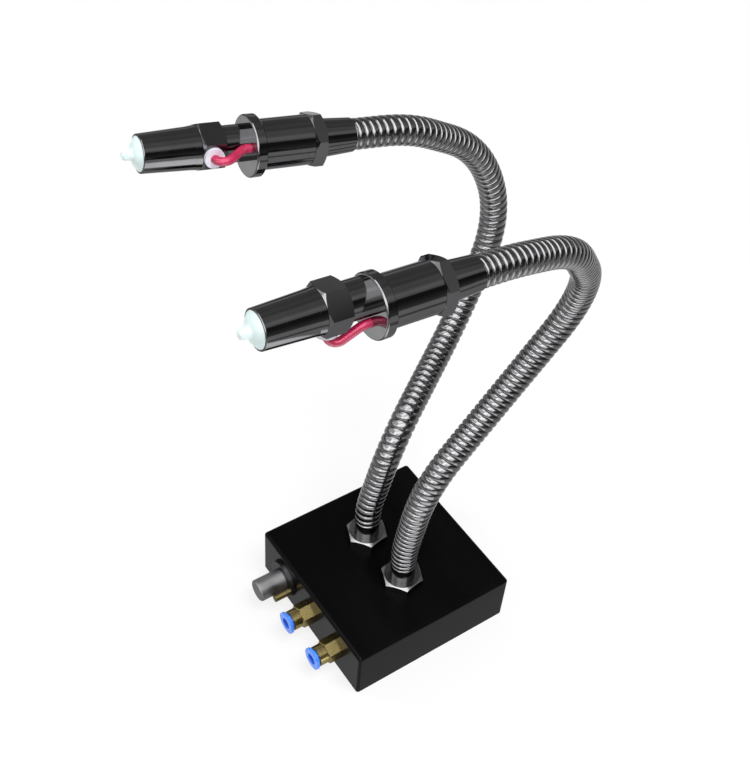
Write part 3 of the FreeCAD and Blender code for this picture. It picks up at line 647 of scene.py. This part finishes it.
def flat_piece(name, near, far, height, material):
    """A level rectangle between two opposite corners."""
    corners = [(near[0], near[1]), (far[0], near[1]), (far[0], far[1]), (near[0], far[1])]
    mesh = bpy.data.meshes.new(name)
    mesh.from_pydata([(x, y, height) for x, y in corners], [], [(0, 1, 2, 3)])
    return placed(name, mesh, material)


def floor_material():
    """White, with its own light for the rays that see the background.

    The light's share rises away from the object, so that the horizon is plain white.
    """
    tree = Tree(bpy.data.materials.new("floor_white"))
    away = tree.length(tree.place())
    rise = tree.mapped(away, FLOOR_RISE, FLOOR_SHARES, interpolation_type="SMOOTHSTEP")
    share = tree.math("MULTIPLY", tree.seen_ray(), rise)
    matt = tree.add("ShaderNodeBsdfDiffuse", {"Color": FLOOR_COLOUR}).outputs[0]
    tree.surface(tree.mixed_shaders(share, matt, tree.glow(1.0)))
    return tree.owner


def make_floor():
    near, far = (-FLOOR_REACH, -FLOOR_REACH), (FLOOR_REACH, FLOOR_REACH)
    floor = flat_piece("floor", near, far, 0, floor_material())


def hood_material():
    """Bands over the object, and the panes of one bright window in front of it."""
    tree = Tree(bpy.data.materials.new("hood_bands"))
    x, y, z = tree.parts(tree.place())
    lift = tree.math("SUBTRACT", z, HOOD_PIVOT)

    over = tree.math("ARCTAN2", lift, x)
    behind = tree.math("LESS_THAN", over, -math.pi / 2)
    turned = tree.math("ADD", over, tree.math("MULTIPLY", behind, 2 * math.pi))
    first, last = HOOD_BANDS[0][0], HOOD_BANDS[-1][0]
    share = tree.mapped(turned, (math.radians(first), math.radians(last)), (0, 1))
    stops = [((angle - first) / (last - first), (level,) * 3) for angle, level in HOOD_BANDS]
    bands = tree.ramp(share, stops)

    tilt = tree.math("ARCTAN2", lift, tree.math("MULTIPLY", y, -1))
    squares = tree.math("MULTIPLY", y, y), tree.math("MULTIPLY", lift, lift)
    sideways = tree.math("ARCTAN2", x, tree.math("SQRT", tree.math("ADD", *squares)))

    def between(angle, low, high):
        """1 between two angles, with soft edges."""
        low, high = math.radians(low), math.radians(high)
        rise = tree.mapped(angle, (low - PANE_SOFTNESS, low + PANE_SOFTNESS), (0, 1))
        fall = tree.mapped(angle, (high - PANE_SOFTNESS, high + PANE_SOFTNESS), (1, 0))
        return tree.math("MULTIPLY", rise, fall)

    window = 0
    for low, high, left, right, level in HOOD_PANES:
        pane = tree.math("MULTIPLY", between(tilt, low, high), between(sideways, left, right))
        window = tree.math("MAXIMUM", window, tree.math("MULTIPLY", pane, level))
    tree.surface(tree.glow(tree.math("MULTIPLY_ADD", window, HOOD_WINDOW_LEVEL, bands)))
    return tree.owner


def only_in_reflections(piece):
    piece.visible_camera = False
    piece.visible_diffuse = False
    piece.visible_transmission = False
    piece.visible_volume_scatter = False
    piece.visible_shadow = False


def make_hood():
    """A dark studio hood with soft bands and one bright window, seen only in reflections."""
    vertices, faces = [], []
    for row in range(HOOD_ROWS + 1):
        lift = math.radians(90 * row / HOOD_ROWS)
        flat, height = HOOD_RADIUS * math.cos(lift), HOOD_RADIUS * math.sin(lift)
        for column in range(HOOD_COLUMNS):
            turn = 2 * math.pi * column / HOOD_COLUMNS
            vertices.append((flat * math.cos(turn), flat * math.sin(turn), height))
    for row in range(HOOD_ROWS):
        low, high = row * HOOD_COLUMNS, (row + 1) * HOOD_COLUMNS
        for column in range(HOOD_COLUMNS):
            beside = (column + 1) % HOOD_COLUMNS
            faces.append((low + column, low + beside, high + beside, high + column))
    mesh = bpy.data.meshes.new("studio_hood")
    mesh.from_pydata(vertices, [], faces)
    hood = placed("studio_hood", mesh, hood_material())
    only_in_reflections(hood)


def make_card(name, near, far, level):
    tree = Tree(bpy.data.materials.new(name))
    tree.surface(tree.glow(level))
    card = flat_piece(name, near, far, CARD_HEIGHT, tree.owner)
    only_in_reflections(card)


def make_lamp(name, place, aim, side, power):
    light = bpy.data.lights.new(name, "AREA")
    light.shape = "RECTANGLE"
    light.size = light.size_y = side
    light.energy = power
    lamp = bpy.data.objects.new(name, light)
    lamp.location = place
    lamp.rotation_euler = (Vector(aim) - Vector(place)).to_track_quat("-Z", "Y").to_euler()
    lamp.visible_glossy = False
    bpy.context.scene.collection.objects.link(lamp)


def make_world():
    """Soft white light, and plain white for the rays that see the background."""
    world = bpy.data.worlds.new("studio")
    bpy.context.scene.world = world
    tree = Tree(world)
    soft, plain = (
        tree.add("ShaderNodeBackground", {"Color": WHITE, "Strength": level}).outputs[0]
        for level in WORLD_LEVELS
    )
    tree.surface(tree.mixed_shaders(tree.seen_ray(), soft, plain), "ShaderNodeOutputWorld")


def make_camera():
    data = bpy.data.cameras.new("camera")
    data.sensor_width = SENSOR_WIDTH
    data.lens = SENSOR_WIDTH * FOCAL_PIXELS / PHOTO_HEIGHT
    data.clip_start, data.clip_end = CLIP_RANGE
    camera = bpy.data.objects.new("camera", data)
    ahead = Vector(CAMERA_AHEAD).normalized()
    right = Vector(CAMERA_RIGHT)
    right = (right - ahead * right.dot(ahead)).normalized()
    turn = Matrix((right, right.cross(ahead), -ahead)).transposed().to_4x4()
    camera.matrix_world = Matrix.Translation(CAMERA_PLACE) @ turn
    bpy.context.scene.collection.objects.link(camera)
    bpy.context.scene.camera = camera


make_floor()
make_hood()
for name, card in CARDS.items():
    make_card(name, *card)
make_world()
make_camera()
for name, lamp in LAMPS.items():
    make_lamp(name, *lamp)

bpy.context.scene.view_settings.view_transform = "Standard"
